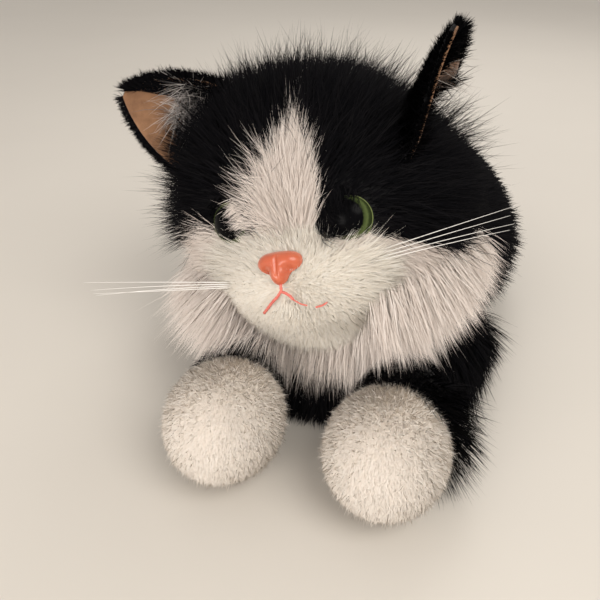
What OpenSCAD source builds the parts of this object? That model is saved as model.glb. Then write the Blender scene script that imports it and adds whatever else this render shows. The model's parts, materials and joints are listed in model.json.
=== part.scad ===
// Plush cat lying on its belly: sewn fabric panels over stuffing, with a soft
// ball neck, hip and shoulder seams that swing, bending ears and a swinging tail.
// The cat faces -Y, its left side is +X, and it rests on the plane z = 0.
// The origin is the centre of the flat belly.

/* [Cloth] */
// Thickness of a fabric panel with its trimmed pile
skin = 3; // [2:0.5:4]
// Gap between parts that move against each other
fit = 0.4; // [0.3:0.1:0.8]
// Gap round a stem, a washer or a sewn-in bag
seat = 0.1; // [0.05:0.05:0.3]

/* [Torso] */
// Width of the torso
torso_w = 160; // [140:1:180]
// Length of the torso
torso_l = 184; // [160:1:210]
// Height of the torso's full oval
torso_h = 104; // [96:1:120]
// Height of the oval's middle above the resting surface
torso_mid = 38; // [32:1:44]
// Sideways offset of the torso from the origin
torso_x = 4; // [0:1:8]
// Distance from the origin back to the middle of the torso
torso_back = 40; // [36:1:50]
// Slope of the front cut where the neck starts
neck_slope = 31; // [25:1:36]

/* [Chest] */
// Width of the chest
chest_w = 144; // [130:1:160]
// Length of the chest's full oval
chest_l = 108; // [104:1:120]
// Height of the chest's full oval
chest_h = 60; // [54:1:64]
// Height of the chest's middle above the resting surface
chest_mid = 12; // [9:1:14]
// Sideways place of the chest's middle
chest_x = 5; // [3:1:7]
// Distance from the origin forward to the chest's middle
chest_front = 46; // [44:1:48]
// Hollow left between the chest and the head
head_room = 12; // [11:1:16]

/* [Head] */
// Width of the head
head_w = 130; // [118:1:140]
// Length of the head from front to back
head_l = 112; // [104:1:120]
// Height of the head
head_h = 108; // [100:1:114]
// Height of the head's middle above the resting surface
head_up = 80; // [78:1:90]
// Distance from the origin forward to the head's middle
head_front = 36; // [30:1:40]
// Sideways place of the head's middle
head_x = -6; // [-10:1:0]
// Sideways lean of the head, positive to the cat's right
head_lean = 12; // [6:1:14]
// Turn of the head to the cat's right
head_turn = 4; // [0:1:8]
// Distance from the head's middle back to the neck's pivot
neck_reach = 30; // [28:1:33]
// Drop from the head's middle to the neck's pivot
neck_drop = 8; // [6:1:10]
// Radius of the ball at the neck
neck_r = 32; // [31:0.5:35]

/* [Face] */
// Width of the muzzle
muzzle_w = 68; // [56:1:74]
// Depth of the muzzle's full oval
muzzle_d = 52; // [46:1:56]
// Height of the muzzle
muzzle_h = 48; // [40:1:50]
// Distance from the head's middle forward to the muzzle's middle
muzzle_front = 46; // [42:1:48]
// Drop from the head's middle to the muzzle's middle
muzzle_drop = 16; // [14:1:18]
// Height of the nose above the head's middle
nose_up = 0; // [-2:0.5:2]
// Width of the moulded nose
nose_w = 19; // [14:0.5:22]
// Length of the moulded nose along the muzzle
nose_l = 14; // [10:0.5:16]
// Height that the nose stands out
nose_t = 6; // [4:0.5:8]
// Diameter of an eye
eye_d = 18; // [12:0.5:20]
// Height that an eye stands out
eye_t = 6; // [4:0.5:8]
// Distance between the middles of the eyes
eye_gap = 52; // [46:1:58]
// Height of the eyes above the head's middle
eye_up = 13; // [12:1:18]
// Width of the light blaze above the muzzle
blaze_w = 40; // [24:1:44]
// Height of the cheeks' seam at the front of the head
cheek_seam = 2; // [0:0.5:4]
// Slope of the cheeks' seam, falling towards the back
seam_slope = 38; // [30:1:45]
// Length of a whisker
whisker_l = 60; // [40:1:75]
// Whiskers on each side
whiskers = 4; // [2:1:6]
// Rise of the left side's middle whisker
left_whisker_rise = 14; // [0:1:20]
// Rise of the right side's middle whisker
right_whisker_rise = 3; // [0:1:20]

/* [Safety stems] */
// Radius of the stem behind an eye or the nose
stem_r = 2; // [1.5:0.25:2.5]
// Length of the stem
stem_l = 12; // [11:0.5:15]
// Radius of the locking washer
washer_r = 7; // [6:0.5:8]
// Thickness of the locking washer
washer_t = 1.5; // [1:0.25:2]

/* [Ears] */
// Width of an ear at its root
ear_w = 44; // [34:1:50]
// Height of an ear
ear_h = 44; // [36:1:50]
// Thickness of the furred back of an ear
ear_back_t = 2.4; // [1.6:0.2:3]
// Thickness of the velour lining of an ear
ear_lining_t = 1.4; // [1:0.2:2]
// Radius that an ear is cupped to
ear_cup = 34; // [30:1:40]

/* [Forelegs] */
// Sideways place of the right shoulder
right_shoulder_x = -30; // [-34:1:-28]
// Sideways place of the left shoulder
left_shoulder_x = 43; // [41:1:47]
// Distance from the origin forward to the shoulders
shoulder_front = 97; // [95:1:100]
// Height of the shoulders
shoulder_up = 21; // [20:0.5:23]
// Radius of a foreleg at the shoulder
shoulder_r = 18.5; // [16:0.5:19]
// Distance from the shoulder forward to the middle of the paw
foreleg_l = 36; // [32:1:44]
// Width of a forepaw
forepaw_w = 50; // [42:1:52]
// Length of a forepaw
forepaw_l = 56; // [50:1:60]
// Height of a forepaw
forepaw_h = 48.4; // [44:0.2:50]
// Inward lean of the right forepaw from its shoulder
right_forepaw_in = 4; // [2:0.5:5]
// Inward lean of the left forepaw from its shoulder
left_forepaw_in = 3; // [2:0.5:5]

/* [Hind legs] */
// Distance of a hip from the torso's middle line
hip_side = 45; // [42:1:50]
// Distance from the torso's middle back to the hips
hip_back = 72; // [70:1:76]
// Height of the hips
hip_up = 23; // [22:0.5:26]
// Radius of a hind leg at the hip
hip_r = 21; // [18:0.5:22]
// Distance from the hip back to the middle of the hind paw
hindleg_l = 32; // [30:1:42]
// Width of a hind paw
hindpaw_w = 40; // [34:1:44]
// Length of a hind paw
hindpaw_l = 48; // [40:1:54]
// Height of a hind paw
hindpaw_h = 37; // [32:1:40]
// Outward lean of a hind paw from its hip
hindpaw_out = 3; // [2:1:10]

/* [Tail] */
// Radius of the tail
tail_r = 11; // [8:0.5:12]
// Length of the tail's straight root
tail_root = 34; // [28:1:40]
// Radius of the tail's curl
tail_curl = 40; // [34:1:46]
// Angle of the tail's curl
tail_sweep = 90; // [60:1:100]
// Height of the tail's pivot
tail_up = 24; // [20:0.5:28]

/* [Weight bag] */
// Width of the pellet bag
bag_w = 92; // [70:1:100]
// Length of the pellet bag
bag_l = 92; // [70:1:96]
// Height of the pellet bag
bag_h = 24; // [18:1:28]

/* [Stitches] */
// Radius of the sewing thread
thread_r = 0.5; // [0.4:0.1:0.8]
// Stitches in the closing seam under the belly
belly_stitch_count = 9; // [5:1:12]
// Space between two of those stitches
stitch_pitch = 6; // [5:0.5:7]

/* [Hidden] */
$fn = 96;
reach = 400;
over = 1;
poles_x = [0, 90, 0];
poles_y = [90, 0, 0];
poles_z = [0, 0, 0];
black = "#1b1b1e";
glossy_black = "#0d0d0f";
white = "#f3efe8";
cream = "#f2e9dd";
filling = "#e9e6df";
pellet_grey = "#c9c4ba";
bristle = "#f7f5ef";
salmon = "#ef7b63";
velour = "#a5673f";
iris_green = "#7d9a4c";
sides = [-1, 1];

torso_c = [torso_x, torso_back, torso_mid];
torso_radii = [torso_w, torso_l, torso_h] / 2;
chest_c = [chest_x, -chest_front, chest_mid];
chest_radii = [chest_w, chest_l, chest_h] / 2;

head_c = [head_x, -head_front, head_up];
head_radii = [head_w, head_l, head_h] / 2;
head_pose = [0, -head_lean, -head_turn];
neck_in_head = [0, neck_reach, -neck_drop];

muzzle_c = [0, -muzzle_front, -muzzle_drop];
muzzle_radii = [muzzle_w, muzzle_d, muzzle_h] / 2;
chin_seam = -muzzle_drop - muzzle_h / 6;
face_back = 14;
blaze_top = 54;
blaze_tip = 6;
blaze_back = -6;
washer_at = skin + pow(washer_r, 2) / (muzzle_h - 2 * skin) + seat;

right_ear_at = [-47, -4];
left_ear_at = [44, -10];
right_ear_pose = [6, -51, 33];
left_ear_pose = [41, -22, 74];
left_ear_lift = 3.1;
right_ear_lift = 4.3;

right_shoulder = [right_shoulder_x, -shoulder_front, shoulder_up];
left_shoulder = [left_shoulder_x, -shoulder_front, shoulder_up];
forepaw_radii = [forepaw_w, forepaw_l, forepaw_h] / 2;
hindpaw_radii = [hindpaw_w, hindpaw_l, hindpaw_h] / 2;
paw_lift = 0.3;
limb_waist = 1.8;

tail_sink = 4;
tail_swell = 1;
tail_c = [torso_x, torso_back + torso_radii.y - tail_sink, tail_up];
tail_ball_r = tail_r + tail_swell;

bag_shift = 10;
bag_lift = 2;
bag_radii = [bag_w, bag_l, bag_h] / 2;
bag_c = [torso_x, torso_back + bag_shift, skin + bag_lift + bag_radii.z];
bag_skin = 0.8;

groove_w = 3;
groove_d = 1.4;
groove_l = belly_stitch_count * stitch_pitch;
groove_shift = 20;
groove_back = torso_back + groove_shift;
stitch_slant = 1;

// --- functions -------------------------------------------------------------

// Radii of the oval that lies one fabric thickness inside another.
function inside(radii, t = skin) = [radii.x - t, radii.y - t, radii.z - t];

// Front (-Y) point of an oval at a given x and z.
function front_of(c, r, x, z) =
    [x, c.y - r.y * sqrt(1 - pow((x - c.x) / r.x, 2) - pow((z - c.z) / r.z, 2)), z];

// Top (+Z) point of an oval at a given x and y.
function top_of(c, r, x, y) =
    [x, y, c.z + r.z * sqrt(1 - pow((x - c.x) / r.x, 2) - pow((y - c.y) / r.y, 2))];

// Outward direction of an oval's surface at a point.
function normal_of(c, r, p) =
    let (n = [(p.x - c.x) / pow(r.x, 2), (p.y - c.y) / pow(r.y, 2), (p.z - c.z) / pow(r.z, 2)])
    n / norm(n);

// Angles that turn +Z to a direction.
function aim(d) = [0, acos(d.z / norm(d)), atan2(d.y, d.x)];

// --- shared shapes ---------------------------------------------------------

// An oval stretched from a ball; the ball's poles can be turned away from later cuts.
module oval(c, radii, poles = poles_z) {
    translate(c) scale(radii) rotate(poles) sphere(r = 1);
}

// Everything on the +Z side of a plane through a point, with the plane turned.
module beyond(p, angles) {
    translate(p) rotate(angles) translate([-reach / 2, -reach / 2, 0]) cube(reach);
}

// A round bar from one point to another.
module bar(a, b, r, r2) {
    translate(a) rotate(aim(b - a)) cylinder(h = norm(b - a), r1 = r, r2 = r2);
}

module in_head() {
    translate(head_c) rotate(head_pose) children();
}

// Puts a part on an oval at a point, with +Z pointing out of the surface.
module on_surface(c, r, p) {
    translate(p) rotate(aim(normal_of(c, r, p))) children();
}

module neck_ball(extra = 0) {
    in_head() translate(neck_in_head) rotate(poles_y) sphere(r = neck_r + extra);
}

// --- torso -----------------------------------------------------------------

// The sloping cut between torso and chest, moved back by a distance.
neck_cut_gap = 4;
neck_cut_dir = [0, cos(neck_slope), -sin(neck_slope)];
neck_cut_reach = norm([head_radii.y * neck_cut_dir.y, head_radii.z * neck_cut_dir.z]) + neck_cut_gap;
neck_cut_p = head_c + neck_cut_dir * neck_cut_reach;

module behind_neck(t = 0) {
    beyond(neck_cut_p + neck_cut_dir * t, aim(neck_cut_dir));
}

module before_neck() {
    beyond(neck_cut_p, aim(-neck_cut_dir));
}

module above(z) {
    beyond([0, 0, z], [0, 0, 0]);
}

module hip_ball(side, extra = 0) {
    translate(hip(side)) sphere(r = hip_r + extra);
}

function hip(side) = [torso_x + side * hip_side, torso_back + hip_back, hip_up];

module tail_socket() {
    translate(tail_c) sphere(r = tail_ball_r + fit);
}

module side_panel(side, poles) {
    difference() {
        intersection() {
            oval(torso_c, torso_radii, poles);
            above(skin);
            behind_neck(skin);
            beyond([torso_x, 0, 0], [0, side * 90, 0]);
        }
        oval(torso_c, inside(torso_radii), poles);
        hip_ball(side, fit);
        tail_socket();
    }
}

module left_side_panel() {
    color(black) side_panel(1, poles_y);
}

module right_side_panel() {
    color(black) side_panel(-1, poles_z);
}

module torso_stuffing() {
    color(filling) difference() {
        intersection() {
            oval(torso_c, inside(torso_radii), poles_y);
            above(skin);
            behind_neck(skin);
        }
        oval(bag_c, bag_radii, poles_y);
        neck_ball(fit);
        tail_socket();
        for (side = sides) hip_ball(side, fit);
    }
}

module belly_panel() {
    color(black) difference() {
        intersection() {
            oval(torso_c, torso_radii);
            behind_neck();
            translate([-reach / 2, -reach / 2, 0]) cube([reach, reach, skin]);
        }
        translate([torso_x - groove_w / 2, groove_back - groove_l / 2, -over])
            cube([groove_w, groove_l, groove_d + over]);
        tail_socket();
        for (side = sides) hip_ball(side, fit);
    }
}

module belly_stitches() {
    color(black) for (i = [0:belly_stitch_count - 1]) {
        y = groove_back + (i - (belly_stitch_count - 1) / 2) * stitch_pitch;
        z = groove_d - thread_r;
        half = groove_w / 2 - thread_r;
        bar([torso_x - half, y - stitch_slant, z], [torso_x + half, y + stitch_slant, z], thread_r, thread_r);
    }
}

module neck_facing() {
    color(black) difference() {
        intersection() {
            oval(torso_c, torso_radii);
            above(skin);
            behind_neck();
        }
        behind_neck(skin);
        neck_ball(fit);
    }
}

module pellet_bag() {
    color(cream) difference() {
        oval(bag_c, inside(bag_radii, seat));
        oval(bag_c, inside(bag_radii, seat + bag_skin));
    }
}

module pellet_fill() {
    color(pellet_grey) oval(bag_c, inside(bag_radii, seat + bag_skin));
}

// --- chest -----------------------------------------------------------------

module head_hollow() {
    translate(head_c) sphere(r = head_radii.z + head_room);
}

module shoulder_sockets() {
    translate(right_shoulder) sphere(r = shoulder_r + fit);
    translate(left_shoulder) sphere(r = shoulder_r + fit);
}

module chest_filling_shape() {
    intersection() {
        oval(chest_c, inside(chest_radii), poles_x);
        above(skin);
        before_neck();
    }
}

module chest_stuffing() {
    color(filling) difference() {
        chest_filling_shape();
        head_hollow();
        shoulder_sockets();
    }
}

module chest_panel() {
    color(black) difference() {
        intersection() {
            oval(chest_c, chest_radii, poles_x);
            above(0);
            before_neck();
        }
        head_hollow();
        shoulder_sockets();
        chest_filling_shape();
    }
}

// --- neck ------------------------------------------------------------------

module neck_cover() {
    color(black) difference() {
        neck_ball();
        neck_ball(-skin);
    }
}

module neck_stuffing() {
    color(filling) neck_ball(-skin);
}

// --- head ------------------------------------------------------------------

module head_shell(poles = poles_x) {
    difference() {
        oval([0, 0, 0], head_radii, poles);
        oval([0, 0, 0], inside(head_radii), poles);
    }
}

// Space above the seam that runs from under the eyes down towards the back.
module above_cheeks() {
    beyond([0, -head_radii.y + face_back, cheek_seam], [-seam_slope, 0, 0]);
}

module below_cheeks() {
    beyond([0, -head_radii.y + face_back, cheek_seam], [180 - seam_slope, 0, 0]);
}

module front_of_head() {
    beyond([0, face_back, 0], [90, 0, 0]);
}

module blaze_wedge() {
    translate([0, blaze_back, 0]) rotate([90, 0, 0]) linear_extrude(reach / 2)
        polygon([
            [-blaze_w / 2, -blaze_w], [blaze_w / 2, -blaze_w], [blaze_w / 2, cheek_seam],
            [blaze_tip / 2, blaze_top], [-blaze_tip / 2, blaze_top], [-blaze_w / 2, cheek_seam]
        ]);
}

function eye_at(side) = front_of([0, 0, 0], head_radii, side * eye_gap / 2, eye_up);

module at_eye(side) {
    on_surface([0, 0, 0], head_radii, eye_at(side)) children();
}

module stem_hole() {
    translate([0, 0, -stem_l - seat]) cylinder(h = stem_l + 2 * over, r = stem_r + seat);
}

module stem_pocket() {
    translate([0, 0, -stem_l - seat]) cylinder(h = stem_l + 2 * over, r = washer_r + seat);
}

module crown(side, poles) {
    color(black) in_head() difference() {
        intersection() {
            head_shell(poles);
            above_cheeks();
            front_of_head();
            beyond([0, 0, 0], [0, side * 90, 0]);
        }
        blaze_wedge();
        at_eye(side) stem_hole();
    }
}

module crown_left() {
    crown(1, poles_z);
}

module crown_right() {
    crown(-1, poles_x);
}

module blaze() {
    color(white) in_head() intersection() {
        head_shell();
        above_cheeks();
        blaze_wedge();
    }
}

module cheek(side, poles) {
    color(white) in_head() intersection() {
        head_shell(poles);
        below_cheeks();
        front_of_head();
        beyond([0, 0, 0], [0, side * 90, 0]);
    }
}

module cheek_left() {
    cheek(1, poles_y);
}

module cheek_right() {
    cheek(-1, poles_x);
}

module head_back() {
    color(black) difference() {
        in_head() intersection() {
            head_shell();
            beyond([0, face_back, 0], [-90, 0, 0]);
        }
        neck_ball(fit);
    }
}

module head_stuffing() {
    color(filling) difference() {
        in_head() oval([0, 0, 0], inside(head_radii), poles_y);
        neck_ball(fit);
        in_head() for (side = sides) at_eye(side) stem_pocket();
    }
}

// --- muzzle ----------------------------------------------------------------

nose_at = front_of(muzzle_c, muzzle_radii, 0, nose_up);

module at_nose() {
    on_surface(muzzle_c, muzzle_radii, nose_at) children();
}

module muzzle_skin() {
    difference() {
        oval(muzzle_c, muzzle_radii);
        oval(muzzle_c, inside(muzzle_radii));
        oval([0, 0, 0], head_radii);
    }
}

module muzzle_cover() {
    color(cream) in_head() difference() {
        intersection() {
            muzzle_skin();
            above(chin_seam);
        }
        at_nose() stem_hole();
    }
}

module chin_cover() {
    color(cream) in_head() intersection() {
        muzzle_skin();
        beyond([0, 0, chin_seam], [180, 0, 0]);
    }
}

module muzzle_stuffing() {
    color(filling) in_head() difference() {
        oval(muzzle_c, inside(muzzle_radii));
        oval([0, 0, 0], head_radii);
        at_nose() stem_pocket();
    }
}

// Half an oval button on a round stem; its flat back lies at z = 0.
module button(w, l, t) {
    intersection() {
        oval([0, 0, 0], [w / 2, l / 2, t]);
        above(0);
    }
}

module stem() {
    translate([0, 0, -stem_l]) cylinder(h = stem_l, r = stem_r);
}

module washer() {
    translate([0, 0, -washer_at - washer_t]) difference() {
        cylinder(h = washer_t, r = washer_r);
        translate([0, 0, -over]) cylinder(h = washer_t + 2 * over, r = stem_r);
    }
}

module nose() {
    color(salmon) in_head() at_nose() rotate([0, 0, 90]) {
        button(nose_w, nose_l, nose_t);
        stem();
    }
}

module nose_washer() {
    color(white) in_head() at_nose() washer();
}

// Mouth lines, as steps down from the nose: a short drop, then one curve to each side.
knot_swell = 0.2;
knot_r = thread_r + knot_swell;
nose_low = nose_at.z + nose_l / 2 * normal_of(muzzle_c, muzzle_radii, nose_at).y;
mouth_top = nose_low - knot_r - 2 * fit;
mouth_drop = [[0, 0], [0, -2]];
mouth_sides = [[0, -2], [4.5, -5], [9, -9], [14, -11]];

module thread(path, side) {
    pts = [
        for (p = path)
            let (s = front_of(muzzle_c, muzzle_radii, side * p.x, mouth_top + p.y))
            s + normal_of(muzzle_c, muzzle_radii, s) * knot_r
    ];
    for (p = pts) translate(p) sphere(r = knot_r);
    for (i = [0:len(pts) - 2]) bar(pts[i], pts[i + 1], thread_r, thread_r);
}

module mouth_stitches() {
    color(salmon) in_head() {
        thread(mouth_drop, 1);
        for (side = sides) thread(mouth_sides, side);
    }
}

// --- whiskers --------------------------------------------------------------

whisker_r = 0.25;
whisker_root_x = 28;
whisker_root_up = 6;
whisker_root_pitch = 2;
whisker_fan = 4;

left_whisker_back = 0.12;
right_whisker_back = -0.14;

module whisker_set(side) {
    color(bristle) in_head() for (i = [0:whiskers - 1]) {
        t = i - (whiskers - 1) / 2;
        root = front_of(
            muzzle_c, muzzle_radii, side * whisker_root_x,
            muzzle_c.z + whisker_root_up + whisker_root_pitch * t
        );
        rise = (side > 0 ? left_whisker_rise : right_whisker_rise) + whisker_fan * t;
        back = side > 0 ? left_whisker_back : right_whisker_back;
        dir = [side * cos(rise), back, sin(rise)];
        bar(root + dir * seat, root + dir * whisker_l, whisker_r, whisker_r / 2, $fn = 6);
    }
}

module whiskers_left() {
    whisker_set(1);
}

module whiskers_right() {
    whisker_set(-1);
}

// --- eyes ------------------------------------------------------------------

iris_t = 1.2;

module eye_dome(side) {
    color(glossy_black) in_head() at_eye(side) translate([0, 0, iris_t])
        button(eye_d, eye_d, eye_t - iris_t);
}

module eye_iris(side) {
    color(iris_green) in_head() at_eye(side) cylinder(h = iris_t, r = eye_d / 2);
}

module eye_stem(side) {
    color(glossy_black) in_head() at_eye(side) stem();
}

module eye_washer(side) {
    color(white) in_head() at_eye(side) washer();
}

module left_eye_dome() {
    eye_dome(1);
}

module left_eye_iris() {
    eye_iris(1);
}

module left_eye_stem() {
    eye_stem(1);
}

module left_eye_washer() {
    eye_washer(1);
}

module right_eye_dome() {
    eye_dome(-1);
}

module right_eye_iris() {
    eye_iris(-1);
}

module right_eye_stem() {
    eye_stem(-1);
}

module right_eye_washer() {
    eye_washer(-1);
}

// --- ears ------------------------------------------------------------------

// Pointed arch of the ear's outline, extruded towards the lining.
arch_r = (pow(ear_h, 2) + pow(ear_w / 2, 2)) / ear_w;

module ear_outline() {
    rotate([90, 0, 0]) linear_extrude(2 * ear_cup, center = true) intersection() {
        translate([arch_r - ear_w / 2, 0]) circle(r = arch_r);
        translate([ear_w / 2 - arch_r, 0]) circle(r = arch_r);
        translate([-ear_w, 0]) square([2 * ear_w, 2 * ear_h]);
    }
}

// A slice of a tube that the ear is cut from, with its back at y = 0.
module ear_layer(outer, inner) {
    intersection() {
        translate([0, -ear_cup, 0]) difference() {
            cylinder(h = 2 * ear_h, r = ear_cup + outer);
            translate([0, 0, -over]) cylinder(h = 2 * (ear_h + over), r = ear_cup + inner);
        }
        ear_outline();
    }
}

module at_ear(side) {
    spot = side > 0 ? left_ear_at : right_ear_at;
    lift = side > 0 ? left_ear_lift : right_ear_lift;
    p = top_of([0, 0, 0], head_radii, spot.x, spot.y);
    in_head() translate(p + normal_of([0, 0, 0], head_radii, p) * lift)
        rotate(side > 0 ? left_ear_pose : right_ear_pose) children();
}

module ear_back(side) {
    color(black) at_ear(side) ear_layer(ear_back_t, 0);
}

module ear_lining(side) {
    color(velour) at_ear(side) ear_layer(0, -ear_lining_t);
}

module left_ear_back() {
    ear_back(1);
}

module left_ear_lining() {
    ear_lining(1);
}

module right_ear_back() {
    ear_back(-1);
}

module right_ear_lining() {
    ear_lining(-1);
}

// --- legs ------------------------------------------------------------------

// A leg is a ball at its joint, a slightly slimmer tapered sleeve and an oval paw.
module limb(joint, paw, r1, r2) {
    translate(joint) sphere(r = r1);
    bar(joint, paw, r1 - limb_waist, r2);
}

module limb_sleeve(joint, paw, r1, r2, radii) {
    difference() {
        limb(joint, paw, r1, r2);
        limb(joint, paw, r1 - skin, r2 - skin);
        oval(paw, radii);
    }
}

module limb_stuffing(joint, paw, r1, r2, radii) {
    difference() {
        limb(joint, paw, r1 - skin, r2 - skin);
        oval(paw, radii);
    }
}

module paw_cover(paw, radii) {
    difference() {
        oval(paw, radii);
        oval(paw, inside(radii));
    }
}

fore_step = 4;
hind_step = 2;
fore_end_r = forepaw_radii.z - fore_step;
hind_end_r = hindpaw_radii.z - hind_step;
left_forepaw = left_shoulder + [-left_forepaw_in, -foreleg_l, forepaw_radii.z + paw_lift - shoulder_up];
right_forepaw = right_shoulder + [right_forepaw_in, -foreleg_l, forepaw_radii.z + paw_lift - shoulder_up];

function hindpaw(side) =
    [hip(side).x + side * hindpaw_out, hip(side).y + hindleg_l, hindpaw_radii.z + paw_lift];

module left_foreleg_sleeve() {
    color(black) limb_sleeve(left_shoulder, left_forepaw, shoulder_r, fore_end_r, forepaw_radii);
}

module left_foreleg_stuffing() {
    color(filling) limb_stuffing(left_shoulder, left_forepaw, shoulder_r, fore_end_r, forepaw_radii);
}

module left_forepaw_cover() {
    color(white) paw_cover(left_forepaw, forepaw_radii);
}

module left_forepaw_stuffing() {
    color(filling) oval(left_forepaw, inside(forepaw_radii));
}

module right_foreleg_sleeve() {
    color(black) limb_sleeve(right_shoulder, right_forepaw, shoulder_r, fore_end_r, forepaw_radii);
}

module right_foreleg_stuffing() {
    color(filling) limb_stuffing(right_shoulder, right_forepaw, shoulder_r, fore_end_r, forepaw_radii);
}

module right_forepaw_cover() {
    color(white) paw_cover(right_forepaw, forepaw_radii);
}

module right_forepaw_stuffing() {
    color(filling) oval(right_forepaw, inside(forepaw_radii));
}

module left_thigh_cover() {
    color(black) limb_sleeve(hip(1), hindpaw(1), hip_r, hind_end_r, hindpaw_radii);
}

module left_thigh_stuffing() {
    color(filling) limb_stuffing(hip(1), hindpaw(1), hip_r, hind_end_r, hindpaw_radii);
}

module left_hindpaw_cover() {
    color(white) paw_cover(hindpaw(1), hindpaw_radii);
}

module left_hindpaw_stuffing() {
    color(filling) oval(hindpaw(1), inside(hindpaw_radii));
}

module right_thigh_cover() {
    color(black) limb_sleeve(hip(-1), hindpaw(-1), hip_r, hind_end_r, hindpaw_radii);
}

module right_thigh_stuffing() {
    color(filling) limb_stuffing(hip(-1), hindpaw(-1), hip_r, hind_end_r, hindpaw_radii);
}

module right_hindpaw_cover() {
    color(white) paw_cover(hindpaw(-1), hindpaw_radii);
}

module right_hindpaw_stuffing() {
    color(filling) oval(hindpaw(-1), inside(hindpaw_radii));
}

// --- tail ------------------------------------------------------------------

// A ball at the joint, a straight root sinking to the surface, then a curl.
tail_bend = tail_c + [0, tail_root, tail_r + paw_lift - tail_up];

module tail_shape(ball, r) {
    translate(tail_c) sphere(r = ball);
    bar(tail_c, tail_bend, r, r);
    translate(tail_bend) sphere(r = r);
    translate(tail_bend - [tail_curl, 0, 0]) rotate_extrude(angle = tail_sweep)
        translate([tail_curl, 0]) circle(r = r);
    translate(tail_bend + tail_curl * [cos(tail_sweep) - 1, sin(tail_sweep), 0]) sphere(r = r);
}

module tail_cover() {
    color(black) difference() {
        tail_shape(tail_ball_r, tail_r);
        tail_shape(tail_ball_r - skin, tail_r - skin);
    }
}

module tail_stuffing() {
    color(filling) tail_shape(tail_ball_r - skin, tail_r - skin);
}

// ---------------------------------------------------------------------------

torso_stuffing();
left_side_panel();
right_side_panel();
belly_panel();
neck_facing();
chest_panel();
chest_stuffing();
pellet_bag();
pellet_fill();
belly_stitches();
neck_cover();
neck_stuffing();
crown_left();
crown_right();
blaze();
cheek_left();
cheek_right();
head_back();
head_stuffing();
muzzle_cover();
chin_cover();
muzzle_stuffing();
nose();
nose_washer();
mouth_stitches();
whiskers_left();
whiskers_right();
left_eye_dome();
left_eye_iris();
left_eye_stem();
left_eye_washer();
right_eye_dome();
right_eye_iris();
right_eye_stem();
right_eye_washer();
left_ear_back();
left_ear_lining();
right_ear_back();
right_ear_lining();
left_foreleg_sleeve();
left_foreleg_stuffing();
left_forepaw_cover();
left_forepaw_stuffing();
right_foreleg_sleeve();
right_foreleg_stuffing();
right_forepaw_cover();
right_forepaw_stuffing();
left_thigh_cover();
left_thigh_stuffing();
left_hindpaw_cover();
left_hindpaw_stuffing();
right_thigh_cover();
right_thigh_stuffing();
right_hindpaw_cover();
right_hindpaw_stuffing();
tail_cover();
tail_stuffing();
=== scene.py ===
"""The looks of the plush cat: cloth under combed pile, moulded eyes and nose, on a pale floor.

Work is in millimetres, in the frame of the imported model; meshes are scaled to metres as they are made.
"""

import json
import math

import bpy
import numpy as np
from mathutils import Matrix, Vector, kdtree


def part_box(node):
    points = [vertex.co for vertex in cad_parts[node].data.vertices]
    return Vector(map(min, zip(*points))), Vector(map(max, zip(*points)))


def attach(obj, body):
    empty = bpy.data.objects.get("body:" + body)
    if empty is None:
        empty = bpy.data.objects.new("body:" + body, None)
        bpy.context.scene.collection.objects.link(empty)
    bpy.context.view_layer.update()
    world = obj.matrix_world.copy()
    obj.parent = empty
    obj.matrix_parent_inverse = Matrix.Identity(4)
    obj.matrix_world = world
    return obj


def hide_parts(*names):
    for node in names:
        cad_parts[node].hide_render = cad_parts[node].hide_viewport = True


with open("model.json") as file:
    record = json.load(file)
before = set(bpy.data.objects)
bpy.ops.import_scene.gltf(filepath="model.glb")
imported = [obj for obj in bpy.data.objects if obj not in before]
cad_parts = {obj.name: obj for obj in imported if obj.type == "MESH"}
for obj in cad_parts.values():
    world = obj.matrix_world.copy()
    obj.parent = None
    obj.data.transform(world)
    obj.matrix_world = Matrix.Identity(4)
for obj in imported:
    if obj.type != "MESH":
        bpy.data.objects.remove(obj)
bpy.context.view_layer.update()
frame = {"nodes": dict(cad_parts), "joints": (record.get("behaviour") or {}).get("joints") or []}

MM = 0.001

# --- camera, light and floor ---


CAMERA_PLACE = (0.04911, -0.29556, 0.202)
CAMERA_PITCH, CAMERA_TURN = 56, 15
LENS = 36


def make_camera():
    data = bpy.data.cameras.new("camera")
    data.lens = data.sensor_width = LENS
    camera = bpy.data.objects.new("camera", data)
    camera.location = CAMERA_PLACE
    camera.rotation_euler = (math.radians(CAMERA_PITCH), 0, math.radians(CAMERA_TURN))
    bpy.context.scene.collection.objects.link(camera)
    bpy.context.scene.camera = camera


def area_lamp(name, place, target, size, power, colour):
    data = bpy.data.lights.new(name, "AREA")
    data.shape = "DISK"
    data.size = size
    data.energy = power
    data.color = colour
    lamp = bpy.data.objects.new(name, data)
    lamp.location = place
    lamp.rotation_euler = (Vector(target) - Vector(place)).to_track_quat("-Z", "Y").to_euler()
    bpy.context.scene.collection.objects.link(lamp)


def make_light():
    world = bpy.data.worlds.new("studio")
    world.use_nodes = True
    background = world.node_tree.nodes["Background"]
    background.inputs["Color"].default_value = (1.0, 0.95, 0.89, 1)
    background.inputs["Strength"].default_value = 0.6
    bpy.context.scene.world = world
    area_lamp("key", (0.55, -0.45, 0.85), (0, -0.03, 0.06), 0.7, 5.5, (1.0, 0.96, 0.9))
    area_lamp("fill", (-0.3, -0.95, 0.22), (0, -0.03, 0.05), 0.7, 5.5, (1.0, 0.95, 0.9))
    area_lamp("rim", (0.1, 0.7, 0.7), (0, 0, 0.1), 0.5, 2.0, (1.0, 0.97, 0.93))
    bpy.context.scene.view_settings.view_transform = "Standard"


# --- node materials ---


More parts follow.
